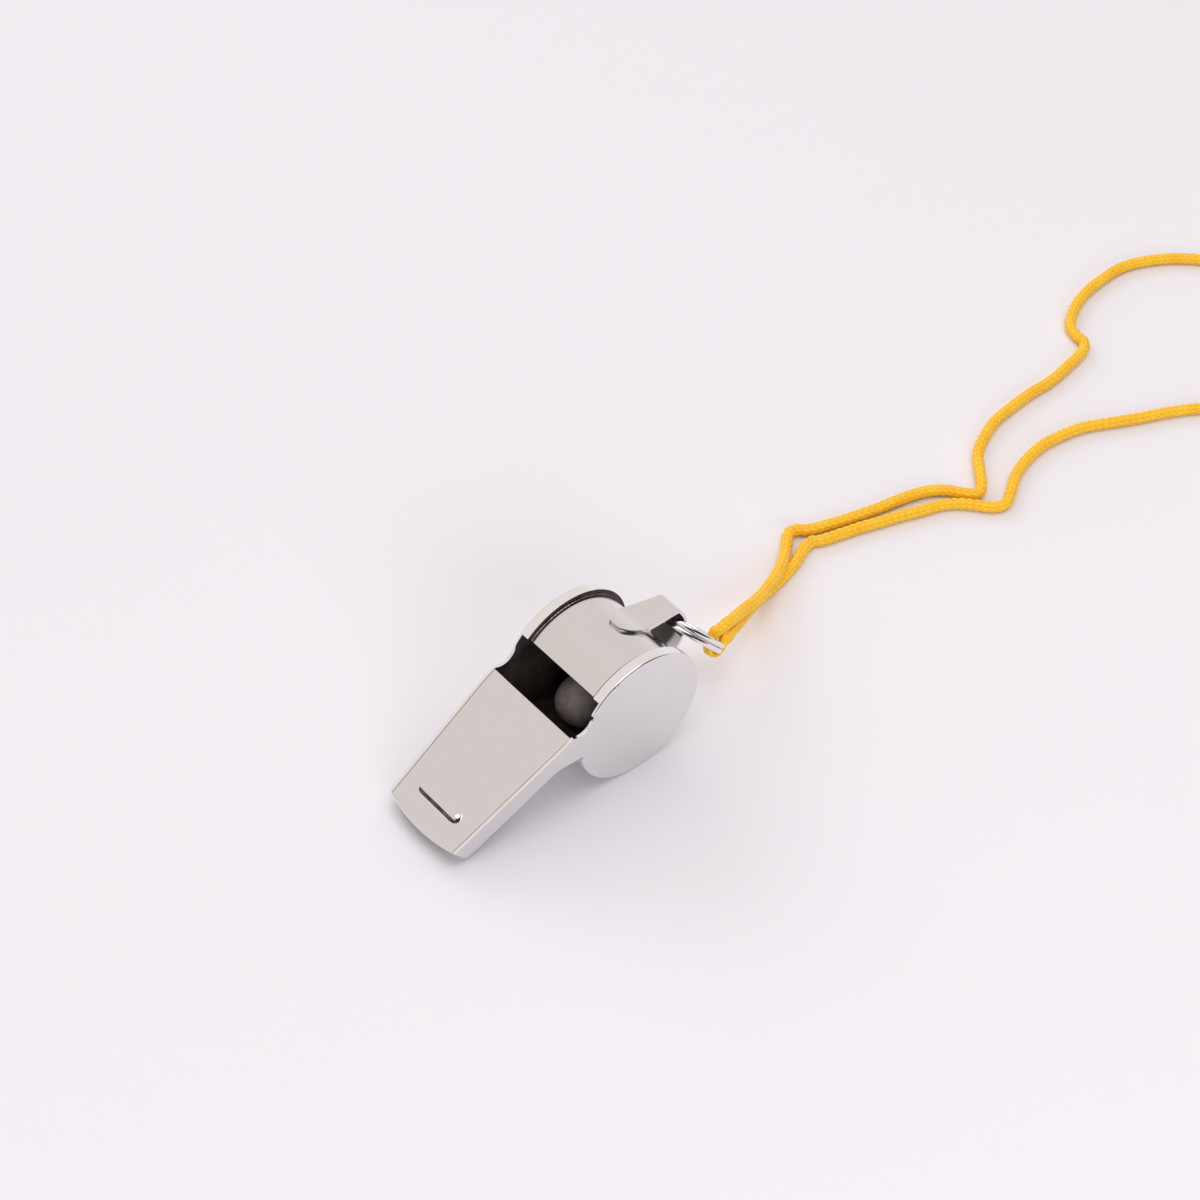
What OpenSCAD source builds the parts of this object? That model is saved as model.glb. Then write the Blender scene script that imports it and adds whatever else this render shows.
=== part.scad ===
/* [Barrel] */
// Outside radius of the barrel wall
barrel_r = 9.7; // [8.5:0.1:11]
// Thickness of the sheet metal of every shell piece
sheet = 0.45; // [0.35:0.05:0.55]
// Width over the two side plates
body_w = 17; // [15:0.5:22]
// Angle of the lip in front of the top of the barrel
lip_angle = 15; // [12:1:18]

/* [Side plates] */
// Height of the plate rim above the barrel wall
rim_h = 0.8; // [0.6:0.1:1]
// Width of the crest of the rim
rim_crest = 1.6; // [1.2:0.1:1.7]
// Radius of the fillet at the foot of the rim
rim_foot = 0.2; // [0.1:0.05:0.3]
// Radius of the rounded outer edge of the disc
disc_edge = 0.3; // [0.15:0.05:0.3]
// How far in front of the disc the lower edge of the cheek bends down to it
neck_out = 2.4; // [1.8:0.2:4]
// Angle above level, seen on the whistle, at which that edge meets the disc
neck_angle = 24; // [20:1:28]
// Radius of the dip in the plate edge beside the window
dip_r = 2.2; // [1.8:0.1:2.6]
// Height of the centre of that dip above the roof
dip_up = 1; // [0.7:0.1:1.3]
// Radius of the lower front corner of the cheek
cheek_corner = 0.7; // [0.3:0.1:1]

/* [Mouthpiece] */
// Depth of the roof below the top of the barrel
roof_drop = 0.3; // [0.1:0.1:0.6]
// Length of the window from the roof edge to the lip
window_len = 6.2; // [5.6:0.1:6.8]
// Length of the mouthpiece from its corners to the window
mouth_len = 21.8; // [16:0.2:30]
// Height of the mouthpiece over roof and floor
mouth_h = 3.1; // [2.6:0.1:3.6]
// Width of the mouthpiece at its tip
tip_w = 14.3; // [12:0.1:17]
// How far the curved tip edge stands out in front of its corners
tip_bulge = 1; // [0.6:0.1:2]
// How far the floor stops behind the roof at the tip
tip_setback = 0.5; // [0.2:0.1:1]
// Inside radius of the bend where the floor turns down into the barrel
floor_bend = 0.6; // [0.3:0.1:0.9]

/* [Bite ridges] */
// Length of the pressed ridge that the teeth hold
ridge_len = 8.4; // [6:0.2:10]
// Width of the ridge
ridge_w = 2; // [1.6:0.1:2.4]
// Height of the ridge
ridge_h = 0.5; // [0.4:0.05:0.6]
// Distance of the ridge behind the corners of the tip
ridge_back = 3.6; // [2.6:0.1:5]

/* [Lanyard lug] */
// Angle behind the top of the barrel where the lug leaves the wall
lug_leave = 54; // [50:1:58]
// Angle that the foot of the lug covers on the wall
lug_foot = 12; // [10:1:18]
// Radius of the hollow sweep that lifts the lug off the wall
lug_sweep_r = 14; // [12:0.5:16]
// Angle of that sweep
lug_sweep = 16; // [13:1:19]
// Straight length up to the fold
lug_run = 4.25; // [3.75:0.25:5]
// Radius of the fold, to the middle of the sheet
lug_fold_r = 0.7; // [0.5:0.1:1]
// Angle of the fold
lug_fold = 50; // [46:1:54]
// Straight length behind the fold
lug_drop = 0.85; // [0.5:0.05:1.2]
// Radius of the bow that leads back to the barrel
lug_bow_r = 4.1; // [3.8:0.1:4.5]
// Half width of the lug where it leaves the wall
lug_root_half = 2.6; // [2.2:0.1:3]
// Half width of the lug at the fold
lug_fold_half = 1.9; // [1.5:0.1:2.2]

/* [Pea] */
// Radius of the pea
pea_r = 3.75; // [3.3:0.05:4.2]
// Gap between the pea and the chamber wall
pea_gap = 0.15; // [0.1:0.05:0.3]
// Place of the pea across the chamber
pea_side = 2.2; // [0:0.1:3]
// How far round the chamber the pea lies in front of its lowest point
pea_rest = 14; // [0:1:30]

/* [Split ring] */
// Outside diameter of the ring
ring_d = 12.4; // [11.6:0.2:14]
// Thickness of the ring wire
ring_wire = 0.87; // [0.75:0.02:0.95]
// Gap between the two turns of the ring
ring_turn_gap = 0.03; // [0.02:0.01:0.06]
// Angle on either side of the step between the turns
ring_step = 28; // [24:1:34]
// Slope of the ring below level
ring_slope = 51; // [46:1:56]
// Sideways lean of the ring
ring_lean = 8.5; // [4:0.5:12]
// Gap between the ring wire and the bow of the lug
ring_gap = 0.5; // [0.5:0.05:0.7]
// Angle below level, seen on the whistle, at which the ring lies in the bow
ring_seat = 19; // [14:1:24]

/* [Lanyard] */
// Diameter of the knitted cord
cord_d = 1.7; // [1.5:0.05:1.8]
// Thickness of the cord where the ring presses it flat
cord_flat_t = 1; // [0.8:0.05:1.2]
// Width of the cord there
cord_flat_w = 2.2; // [1.8:0.1:2.4]
// Place of the cord round the ring
cord_place = -27; // [-32:1:-16]
// Gap between the ring wire and the cord
cord_gap = 0.1; // [0.1:0.02:0.2]
// How far the looped cord reaches above the ring
cord_rise = 0.2; // [0.2:0.05:0.5]
// Mean radius of the turns of the put away coil
coil_r = 10.2; // [9.6:0.1:11]
// Whole turns in each layer of the coil
coil_turns = 4; // [2:1:4]
// Gap between neighbouring turns
coil_gap = 0.55; // [0.5:0.05:0.7]
// Gap between the two layers
coil_layer_gap = 0.5; // [0.45:0.05:0.7]

/* [Hidden] */
$fn = 64;
// Film of solder between joined pieces
seam = 0.02;
// Overlap of neighbouring stretches of one sheet
lap = 0.01;
// Overrun of cutting shapes
over = 2;

// Whistle seen from its right side: roof level, tip at minus x, barrel axis through the origin
rim_r = barrel_r + rim_h;
inner_half = body_w / 2 - sheet;
fit_half = inner_half - seam;
roof_z = barrel_r - roof_drop;
floor_z = roof_z - mouth_h;
window_x = -barrel_r * sin(lip_angle) - window_len;
corner_x = window_x - mouth_len;
roof_tip_x = corner_x - tip_bulge;
floor_tip_x = roof_tip_x + tip_setback;
ridge_x = corner_x + ridge_back;
ridge_r = (ridge_w * ridge_w / 4 + ridge_h * ridge_h) / (2 * ridge_h);
// Circle of the curved tip edge, through both corners
tip_r = (tip_w * tip_w / 4 + tip_bulge * tip_bulge) / (2 * tip_bulge);
rim_root = body_w / 2 - rim_crest - rim_foot;
// Front edge of the cheek leans back from the roof corner to the floor corner
cheek_lean = atan(tip_setback / mouth_h);
cheek_tangent = cheek_corner * tan(45 - cheek_lean / 2);

// The whistle stands on the two rims and on the middle of the floor's front edge
tilt = atan(floor_z / -floor_tip_x) + asin(rim_r / norm([floor_tip_x, floor_z]));

// Middle line of the lug: points and headings in the same side view
lug_mid_r = barrel_r + seam + sheet / 2;
function along(angle) = [cos(angle), sin(angle)];
sweep_c = (lug_mid_r + lug_sweep_r) * along(90 - lug_leave);
run_heading = lug_sweep - lug_leave;
run_start = sweep_c + lug_sweep_r * along(run_heading - 90);
run_end = run_start + lug_run * along(run_heading);
fold_c = run_end + lug_fold_r * along(run_heading - 90);
drop_heading = run_heading - lug_fold;
drop_start = fold_c + lug_fold_r * along(drop_heading + 90);
drop_end = drop_start + lug_drop * along(drop_heading);
bow_c = drop_end + lug_bow_r * along(drop_heading - 90);
// The bow runs on until all of its end is within the barrel wall, which trims it
bow_meet_r = barrel_r - sheet;
bow_end = atan2(bow_c.y, bow_c.x) - acos((bow_meet_r * bow_meet_r - bow_c * bow_c - lug_bow_r * lug_bow_r)
    / (2 * norm(bow_c) * lug_bow_r));
lug_back_x = lug_mid_r * sin(lug_leave - lug_foot);
lug_far_x = drop_end.x + sheet;

// Split ring: middle radius, step between the turns, and place in the bow
ring_r = (ring_d - ring_wire) / 2;
ring_half = (ring_wire + ring_turn_gap) / 2;
ring_reach = ring_half + ring_wire / 2;
pivot = bow_c + (lug_bow_r - sheet / 2 - ring_gap - ring_reach) * along(-ring_seat);
function turn_y(v, a) = [v.x * cos(a) + v.z * sin(a), v.y, v.z * cos(a) - v.x * sin(a)];
function turn_x(v, a) = [v.x, v.y * cos(a) - v.z * sin(a), v.y * sin(a) + v.z * cos(a)];
function ring_turn(v) = turn_y(turn_x(v, -ring_lean), ring_slope);
ring_out = ring_turn([1, 0, 0]);
ring_up = ring_turn([0, 0, 1]);
pivot_tilted = turn_y([pivot.x, 0, pivot.y], -tilt);
ring_c_tilted = pivot_tilted + ring_r * ring_out;

// Whistle and ring are centred along x, standing on z zero
front_x = turn_y([roof_tip_x, 0, roof_z], -tilt).x;
back_x = ring_c_tilted.x + ring_r * sqrt(1 - ring_up.x * ring_up.x) + ring_wire / 2
    + ring_half * abs(ring_up.x);
origin = [-(front_x + back_x) / 2, 0, rim_r];
ring_c = origin + ring_c_tilted;

// Cord in the ring: a flat loop round the lower turn, its two arms pointing up out of the ring
bight_r = ring_wire / 2 + cord_gap + cord_flat_t / 2;
arm_len = 2 * ring_half + ring_wire / 2 + cord_rise;
function bight_point(out, up) = ring_c
    + ring_turn([(ring_r + out) * cos(cord_place), (ring_r + out) * sin(cord_place), up]);
arm_top = arm_len - ring_half;
// Straight start of each free stretch, square to its arm
cord_lead = cord_d / 4;
// Height of the cord's middle on the table
lie = 0.9;
// Free stretch a, from the inner arm to the coil
route_a = [[26.1, -1.9, 9], [28.2, -1.2, 8.6], [30.5, -0.3, 7.9], [33.4, 0.9, 6.8], [36.4, 2.2, 5.5],
    [39.6, 3.3, 4.2], [43.3, 5.2, 2.8], [47.4, 7.6, 1.6], [50.2, 9.6, lie], [52.3, 11.9, lie],
    [54, 12.5, lie], [55.4, 11.9, lie], [56.7, 10.8, lie], [59.1, 10.1, lie], [61.6, 9.2, lie],
    [65.2, 8.3, lie], [69.3, 7.8, lie], [73.4, 7.3, lie], [77.1, 6.3, lie], [79.7, 4.3, lie],
    [81.5, 2, lie], [83.2, 0.9, lie], [85.2, 2.2, lie], [87.1, 4.4, lie], [89.5, 7.1, lie],
    [92.9, 9.2, lie], [96.8, 10.8, lie], [101.3, 11.6, lie], [106.5, 12.1, lie], [111.3, 12.2, lie],
    [116, 13, lie], [120.7, 14.1, lie], [122.6, 15.4, lie], [122.9, 17.3, lie], [123.6, 19.3, lie],
    [125.6, 21.1, lie], [129.1, 23, lie], [132.8, 24.2, lie], [136.8, 24.8, lie], [141.8, 25, lie],
    [147, 23.5, lie], [152, 20.5, lie], [157, 15.5, lie], [161.5, 9, lie]];
// Free stretch b, from the outer arm to the coil
route_b = [[27.5, -2.6, 7.5], [28.3, -2.3, 7], [30.3, -1.4, 6.1], [32.6, -0.2, 5], [35.5, 1.4, 3.6],
    [38.5, 3, 2.2], [41.8, 4.4, lie], [45.2, 5, lie], [48.7, 5.7, lie], [52.3, 7.4, lie],
    [53.7, 8.2, lie], [55.1, 8.9, lie], [56.2, 8.6, lie], [57, 7.7, lie], [58.6, 7, lie],
    [62.2, 6.2, lie], [65.8, 5.3, lie], [69.4, 4.4, lie], [72.8, 3.2, lie], [76.5, 2.3, lie],
    [79.2, 0.9, lie], [81, -1, lie], [82.8, -2.9, lie], [84.9, -3.3, lie], [87.4, -2, lie],
    [90.7, 0.1, lie], [94.7, 1.6, lie], [99.2, 2.4, lie], [103.7, 2.1, lie], [107.2, 1.4, lie],
    [110.3, 0.1, lie], [115.8, -2.4, lie], [120.8, -4.4, lie], [125.8, -7, lie], [130.8, -10.5, lie],
    [135.8, -15, 1.2], [140.8, -20, 1.9], [145.3, -23.8, 2.6]];
// Middle of the coil, and the angles at which the cord enters and leaves it
coil_c = [154.4, -10.5];
coil_enter = 30;
coil_leave = -90;
coil_steps = 24;

// Coil: in over the lower layer, up at the middle, out over the upper layer, turning clockwise
layer_turns = coil_turns + (coil_enter - coil_leave) / 720;
coil_pitch = cord_d + coil_gap;
coil_climb = cord_d + coil_layer_gap;
coil_least_r = coil_r - layer_turns * coil_pitch / 2;
function ease(x) = let (c = min(1, max(0, x))) c * c * (3 - 2 * c);
function coil_point(u) = let (
    r = coil_least_r + coil_pitch * abs(u - layer_turns),
    a = coil_enter - 360 * u,
    z = lie + coil_climb * ease((u - layer_turns) * 2 + 0.5))
    [coil_c.x + r * cos(a), coil_c.y + r * sin(a), z];
coil_last = round(2 * layer_turns * coil_steps);
coil_body = [for (i = [0:coil_last]) coil_point(2 * layer_turns * i / coil_last)];
function unit(v) = v / norm(v);
coil_in_heading = unit(coil_body[1] - coil_body[0]);
coil_out_heading = unit(coil_body[coil_last] - coil_body[coil_last - 1]);
coil_in = coil_body[0] - cord_d * coil_in_heading;
coil_out = coil_body[coil_last] + cord_d * coil_out_heading;
coil_points = concat([coil_in], coil_body, [coil_out]);

run_a_points = concat([bight_point(-bight_r, arm_top), bight_point(-bight_r, arm_top + cord_lead)],
    route_a, [coil_in - cord_d * coil_in_heading, coil_in]);
run_b_points = concat([bight_point(bight_r, arm_top), bight_point(bight_r, arm_top + cord_lead)],
    route_b, [coil_out + cord_d * coil_out_heading, coil_out]);

function path_length(p, i = 1) = i < len(p) ? norm(p[i] - p[i - 1]) + path_length(p, i + 1) : 0;
cord_length = path_length(run_a_points) + path_length(run_b_points) + path_length(coil_points)
    + PI * bight_r + 2 * arm_len;
half_turn = coil_steps / 2;
coil_self_gap = min([for (i = [0:coil_last - half_turn]) for (j = [i + half_turn:coil_last])
    norm(coil_body[i] - coil_body[j])]) - cord_d;
echo(cord_length = cord_length, coil_self_gap = coil_self_gap);

steel = [0.80, 0.78, 0.78];
steel_bright = [0.86, 0.84, 0.85];
pea_brown = [0.25, 0.21, 0.19];
cord_orange = [0.98, 0.63, 0.10];

// Puts what is drawn level, as the side view shows it, at its tilt on the table
module tilted() {
    translate(origin) rotate([0, -tilt, 0]) children();
}

// Gives an outline of the side view its width, the same on both sides of the middle
module wide(half) {
    rotate([90, 0, 0]) linear_extrude(height = 2 * half, center = true) children();
}

// A sheet bent round a point of the side view, over the whole given width
module bent_sheet(centre, mid_r, from, sweep, half, lap = 0) {
    lap_angle = lap / mid_r * 180 / PI;
    translate([centre.x, 0, centre.y]) rotate([90, 0, 0]) rotate([0, 0, from - lap_angle])
        rotate_extrude(angle = sweep + 2 * lap_angle) translate([mid_r - sheet / 2, -half])
            square([sheet, 2 * half]);
}

// Half width between the cheeks, which draw in from the disc to the tip
function half_at(x, half) = half - (body_w - tip_w) / 2 * (-rim_r - x) / (-rim_r - corner_x);
far_x = roof_tip_x - over;

// Plan of the mouthpiece between the cheeks, with its curved tip
module mouth_plan(back_x, tip_x) {
    intersection() {
        polygon([[back_x, -fit_half], [back_x, fit_half], [-rim_r, fit_half],
            [far_x, half_at(far_x, fit_half)], [far_x, -half_at(far_x, fit_half)], [-rim_r, -fit_half]]);
        translate([tip_x + tip_r, 0]) circle(tip_r, $fn = 128);
    }
}

// Rounded bar that swells the sheet into a bite ridge
module ridge_bar(r) {
    reach = ridge_len / 2 - ridge_w / 2;
    rotate([90, 0, 0]) cylinder(r = r, h = 2 * reach, center = true);
    for (side = [-1, 1]) translate([0, side * reach, 0]) sphere(r);
}

// Flat sheet with a ridge pressed out of its upper face, drawn with that face at z zero
module ridged_sheet(back_x, tip_x) {
    difference() {
        union() {
            translate([0, 0, -sheet]) linear_extrude(height = sheet) mouth_plan(back_x, tip_x);
            intersection() {
                translate([ridge_x, 0, ridge_h - ridge_r]) ridge_bar(ridge_r);
                translate([ridge_x - ridge_w, -ridge_len, -sheet]) cube([2 * ridge_w, 2 * ridge_len, over]);
            }
        }
        translate([ridge_x, 0, ridge_h - ridge_r]) ridge_bar(ridge_r - sheet);
    }
}

module barrel_strip() {
    bend_x = -barrel_r - floor_bend;
    color(steel) tilted() {
        translate([0, 0, floor_z]) mirror([0, 0, 1]) ridged_sheet(bend_x, floor_tip_x);
        bent_sheet([bend_x, floor_z - floor_bend], floor_bend + sheet / 2, 0, 90, fit_half);
        translate([-barrel_r, -fit_half, 0]) cube([sheet, 2 * fit_half, floor_z - floor_bend]);
        bent_sheet([0, 0], barrel_r - sheet / 2, 180, 270 + lip_angle, fit_half);
    }
}

module mouthpiece_roof() {
    color(steel) tilted() translate([0, 0, roof_z]) ridged_sheet(window_x, roof_tip_x);
}

// Outline of cheek and neck in the side view
module cheek_outline() {
    floor_corner = [corner_x + tip_setback, floor_z];
    polygon([[corner_x, roof_z],
        floor_corner + cheek_tangent * along(90 + cheek_lean),
        floor_corner + [cheek_tangent, cheek_corner],
        floor_corner + [cheek_tangent, 0],
        [-rim_r - neck_out, floor_z], barrel_r * along(180 - neck_angle), [0, 0], [0, roof_z]]);
    translate(floor_corner + [cheek_tangent, cheek_corner]) circle(cheek_corner);
}

// Plan of one side plate's sheet, straight beside the barrel and drawn in along the cheek
module cheek_plan() {
    outer = body_w / 2;
    polygon([[0, -outer], [-rim_r, -outer], [far_x, -half_at(far_x, outer)],
        [far_x, -half_at(far_x, inner_half)], [-rim_r, -inner_half], [0, -inner_half]]);
}

// Section of disc and raised rim: round outer edge, broad crest, small fillet down to the barrel wall
module plate_section() {
    translate([0, inner_half]) square([rim_r, sheet - disc_edge]);
    translate([0, inner_half]) square([rim_r - disc_edge, sheet]);
    translate([rim_r - disc_edge, body_w / 2 - disc_edge]) circle(disc_edge);
    foot_r = barrel_r + seam + rim_foot;
    difference() {
        translate([barrel_r + seam, rim_root]) square([rim_h - seam, inner_half - rim_root]);
        translate([foot_r, rim_root]) circle(rim_foot);
        translate([foot_r, rim_root]) square([rim_h, rim_foot]);
    }
}

// Side view of where the rim stops: over the window, and inside the neck
module rimless_outline() {
    neck_wall = -barrel_r - seam;
    polygon([[0, 0], 2 * rim_r * along(90 + lip_angle), [-2 * rim_r, 2 * rim_r], [-2 * rim_r, floor_z],
        [neck_wall, floor_z], [neck_wall, 0]]);
}

// The plate on the right: disc and rim are turned about the barrel axis, the cheek is cut from sheet
module side_plate() {
    tilted() difference() {
        union() {
            difference() {
                rotate([90, 0, 0]) rotate_extrude() plate_section();
                rotate([90, 0, 0]) linear_extrude(height = inner_half) rimless_outline();
            }
            intersection() {
                wide(body_w) cheek_outline();
                translate([0, 0, -rim_r]) linear_extrude(height = 2 * rim_r) cheek_plan();
            }
        }
        translate([window_x + dip_r, 0, roof_z + dip_up]) rotate([90, 0, 0])
            cylinder(r = dip_r, h = body_w);
    }
}

module left_side_plate() {
    color(steel) mirror([0, 1, 0]) side_plate();
}

module right_side_plate() {
    color(steel) side_plate();
}

// A straight stretch of sheet that starts at a point of the side view
module straight_sheet(start, heading, length, half, lap) {
    translate([start.x, 0, start.y]) rotate([0, -heading, 0])
        translate([-lap, -half, -sheet / 2]) cube([length + 2 * lap, 2 * half, sheet]);
}

// Plan of the lug: round at its foot, narrower at the fold
module lug_plan() {
    round_x = lug_back_x + lug_root_half;
    translate([round_x, 0]) circle(lug_root_half);
    polygon([[round_x, -lug_root_half], [lug_far_x, -lug_fold_half], [lug_far_x, lug_fold_half],
        [round_x, lug_root_half]]);
}

module lanyard_lug() {
    half = lug_root_half;
    color(steel) tilted() intersection() {
        union() {
            bent_sheet([0, 0], lug_mid_r, 90 - lug_leave, lug_foot, half, lap);
            bent_sheet(sweep_c, lug_sweep_r, -90 - lug_leave, lug_sweep, half, lap);
            straight_sheet(run_start, run_heading, lug_run, half, lap);
            bent_sheet(fold_c, lug_fold_r, drop_heading + 90, lug_fold, half, lap);
            straight_sheet(drop_start, drop_heading, lug_drop, half, lap);
            difference() {
                bent_sheet(bow_c, lug_bow_r, bow_end, drop_heading + 90 - bow_end, half, lap);
                rotate([90, 0, 0]) cylinder(r = barrel_r + seam, h = body_w, center = true);
            }
        }
        translate([0, 0, -rim_r]) linear_extrude(height = 2 * rim_r) lug_plan();
    }
}

module pea() {
    orbit = barrel_r - sheet - pea_gap - pea_r;
    color(pea_brown) translate(origin) rotate([0, pea_rest, 0]) translate([0, pea_side, -orbit])
        sphere(pea_r);
}

// Puts what is drawn flat, about the ring's own middle, where the ring lies
module in_ring() {
    translate(ring_c) rotate([0, ring_slope, 0]) rotate([-ring_lean, 0, 0]) children();
}

module ring_arc(from, sweep) {
    rotate([0, 0, from]) rotate_extrude(angle = sweep) translate([ring_r, 0]) circle(ring_wire / 2);
}

// Two turns of wire; a slanting arc steps from the lower turn to the upper one
module split_ring() {
    slant = atan(ring_half / (ring_r * sin(ring_step)));
    slant_step = asin(sin(ring_step) / cos(slant));
    color(steel_bright) in_ring() rotate([0, 0, 90]) {
        for (side = [-1, 1]) {
            translate([0, 0, side * ring_half]) ring_arc(ring_step, 360 - 2 * ring_step);
            rotate([slant, 0, 0]) rotate([0, 0, side * slant_step]) translate([ring_r, 0, 0])
                sphere(ring_wire / 2);
        }
        rotate([slant, 0, 0]) ring_arc(-slant_step, 2 * slant_step);
    }
}

// Section of the cord where it is pressed flat
module flat_cord() {
    square([cord_flat_t, cord_flat_w - cord_flat_t], center = true);
    for (side = [-1, 1]) translate([0, side * (cord_flat_w - cord_flat_t) / 2]) circle(cord_flat_t / 2);
}

module lanyard_bight() {
    color(cord_orange) in_ring() rotate([0, 0, cord_place]) translate([ring_r, 0, -ring_half]) {
        rotate([90, 0, 0]) rotate([0, 0, 180]) rotate_extrude(angle = 180) translate([bight_r, 0])
            flat_cord();
        for (side = [-1, 1]) linear_extrude(height = arm_len) translate([side * bight_r, 0]) flat_cord();
    }
}

// Heading of a route at its point i, halfway between the stretches that meet there
function heading_at(p, i) = unit((i > 0 ? unit(p[i] - p[i - 1]) : [0, 0, 0])
    + (i < len(p) - 1 ? unit(p[i + 1] - p[i]) : [0, 0, 0]));
// Points of the tube's section round route point i
function ring_at(p, i, sides, turn) = let (
    ahead = heading_at(p, i),
    side = unit(cross([0, 0, 1], ahead)),
    up = cross(ahead, side))
    [for (k = [0:sides - 1]) let (a = (k + turn) * 360 / sides)
        p[i] + cord_d / 2 * (cos(a) * side + sin(a) * up)];

// One unbroken tube along a route
module cord_tube(p, sides, turn) {
    last = len(p) - 1;
    points = [for (i = [0:last]) each ring_at(p, i, sides, turn)];
    walls = [for (i = [0:last - 1]) for (k = [0:sides - 1]) let (
        a = i * sides + k,
        b = i * sides + (k + 1) % sides)
        each [[b + sides, b, a], [a + sides, b + sides, a]]];
    start_cap = [for (k = [1:sides - 2]) [0, k, k + 1]];
    end_cap = [for (k = [1:sides - 2]) [last * sides, last * sides + k + 1, last * sides + k]];
    polyhedron(points, concat(walls, start_cap, end_cap));
}

module lanyard_run_a() {
    color(cord_orange) cord_tube(run_a_points, 8, 0.5);
}

module lanyard_run_b() {
    color(cord_orange) cord_tube(run_b_points, 8, 0.5);
}

module lanyard_coil() {
    color(cord_orange) cord_tube(coil_points, 6, 0);
}

barrel_strip();
mouthpiece_roof();
left_side_plate();
right_side_plate();
lanyard_lug();
pea();
split_ring();
lanyard_bight();
lanyard_run_a();
lanyard_run_b();
lanyard_coil();
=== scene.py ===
"""Looks of a sheet metal sports whistle with its split ring and knitted neck cord."""

import math

import bmesh
import bpy
from mathutils import Matrix, Vector, noise


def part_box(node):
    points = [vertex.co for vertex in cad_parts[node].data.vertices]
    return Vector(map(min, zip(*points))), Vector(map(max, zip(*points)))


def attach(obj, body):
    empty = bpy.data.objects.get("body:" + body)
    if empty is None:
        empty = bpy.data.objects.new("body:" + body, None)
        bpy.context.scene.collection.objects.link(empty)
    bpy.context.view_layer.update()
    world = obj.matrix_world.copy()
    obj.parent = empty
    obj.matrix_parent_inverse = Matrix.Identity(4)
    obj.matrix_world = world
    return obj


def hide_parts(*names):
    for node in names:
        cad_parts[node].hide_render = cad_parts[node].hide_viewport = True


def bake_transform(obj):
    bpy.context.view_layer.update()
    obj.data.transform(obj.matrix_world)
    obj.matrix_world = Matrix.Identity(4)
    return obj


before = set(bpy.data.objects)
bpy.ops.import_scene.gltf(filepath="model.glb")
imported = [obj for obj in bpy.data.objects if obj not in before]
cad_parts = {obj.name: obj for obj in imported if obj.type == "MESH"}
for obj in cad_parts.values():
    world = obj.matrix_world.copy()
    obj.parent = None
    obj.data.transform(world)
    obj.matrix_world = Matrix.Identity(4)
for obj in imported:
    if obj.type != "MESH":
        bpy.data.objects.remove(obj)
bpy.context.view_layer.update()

bl_info = {
    "name": "Sports whistle",
    "version": (1, 0, 0),
    "blender": (4, 5, 0),
    "location": "3D View > Sidebar > Whistle",
    "description": "Builds the looks of a sheet metal whistle, its ring and its neck cord",
    "category": "Object",
}

MM = 0.001

# Camera that took the photograph: place, its right and up directions, and its lens
CAMERA_PLACE = (-0.177286, -0.195900, 0.298260)
CAMERA_RIGHT = (0.76262904, -0.64518105, 0.0462424)
CAMERA_UP = (0.4356161, 0.5651309, 0.70061807)
CAMERA_LENS = 85.684
CAMERA_SENSOR = 36.0

# Whistle: barrel axis in mm and the tilt at which the shell stands on the table
BARREL_AXIS = Vector((5.96607, 0.0, 10.5))
TILT = math.radians(30.8628)
TO_WORLD = (Matrix.Scale(MM, 4) @ Matrix.Translation(BARREL_AXIS)
            @ Matrix.Rotation(-TILT, 4, "Y"))
TO_SHELL = TO_WORLD.inverted()

# Split ring: its place in the bow of the lug, its slope and its sideways lean
RING_PIVOT = Vector((17.6577, 0.0, 15.4578))
RING_SLOPE = math.radians(48.5)
RING_LEAN = math.radians(8.5)
RING_OUT = Vector((math.cos(RING_SLOPE), 0.0, -math.sin(RING_SLOPE)))
RING_UP = Vector((math.cos(RING_LEAN) * math.sin(RING_SLOPE), math.sin(RING_LEAN),
                  math.cos(RING_LEAN) * math.cos(RING_SLOPE)))
RING_SIDE = RING_UP.cross(RING_OUT)
RING_R = 5.765
RING_MIDDLE = RING_PIVOT + RING_OUT * RING_R
WIRE_R = 0.40
RING_HALF = 0.415
RING_STEP = math.radians(28)

# Cord in the ring
CORD_PLACE = math.radians(-27)
BIGHT_R = 1.035
ARM_LENGTH = 1.535
FLAT_THICK = 1.0
FLAT_WIDE = 2.2

# Free stretches of the cord in mm, from the ring to the put away coil
LIE = 0.95
ROUTE_A = [
    (26.1, -1.9, 9), (28.1, -1.4, 8.7), (30.4, -0.7, 8), (33.5, 0.4, 6.9), (36.6, 1.5, 5.6),
    (39.9, 2.9, 4.4), (42.8, 4.3, 3.5), (45.6, 5.8, 2.7), (48.2, 7.5, 1.9), (50.8, 9.5, 1.2),
    (52.6, 11.1, LIE), (54.1, 12.2, LIE), (55.5, 11.9, LIE), (56.5, 11.1, LIE), (57.8, 10.5, LIE),
    (59.9, 9.9, LIE), (61.9, 9.3, LIE), (65.3, 8.5, LIE), (68.9, 7.8, LIE), (73.2, 7.1, LIE),
    (76.9, 6.1, LIE), (79.7, 4.3, LIE), (81.5, 2, LIE), (83.2, 0.9, LIE), (85.2, 2.2, LIE),
    (87.1, 4.4, LIE), (89.5, 7.1, LIE), (92.9, 9.2, LIE), (96.8, 10.8, LIE), (101.3, 11.6, LIE),
    (106.5, 12.1, LIE), (111.3, 12.2, LIE), (116, 13, LIE), (120.7, 14.1, LIE),
    (122.6, 15.4, LIE), (122.9, 17.3, LIE), (123.6, 19.3, LIE), (125.6, 21.1, LIE),
    (129.1, 23, LIE), (132.8, 24.2, LIE), (136.8, 24.8, LIE), (141.8, 25, LIE), (147, 23.5, LIE),
    (152, 20.5, LIE), (157, 15.5, LIE), (161.5, 9, LIE)]
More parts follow.
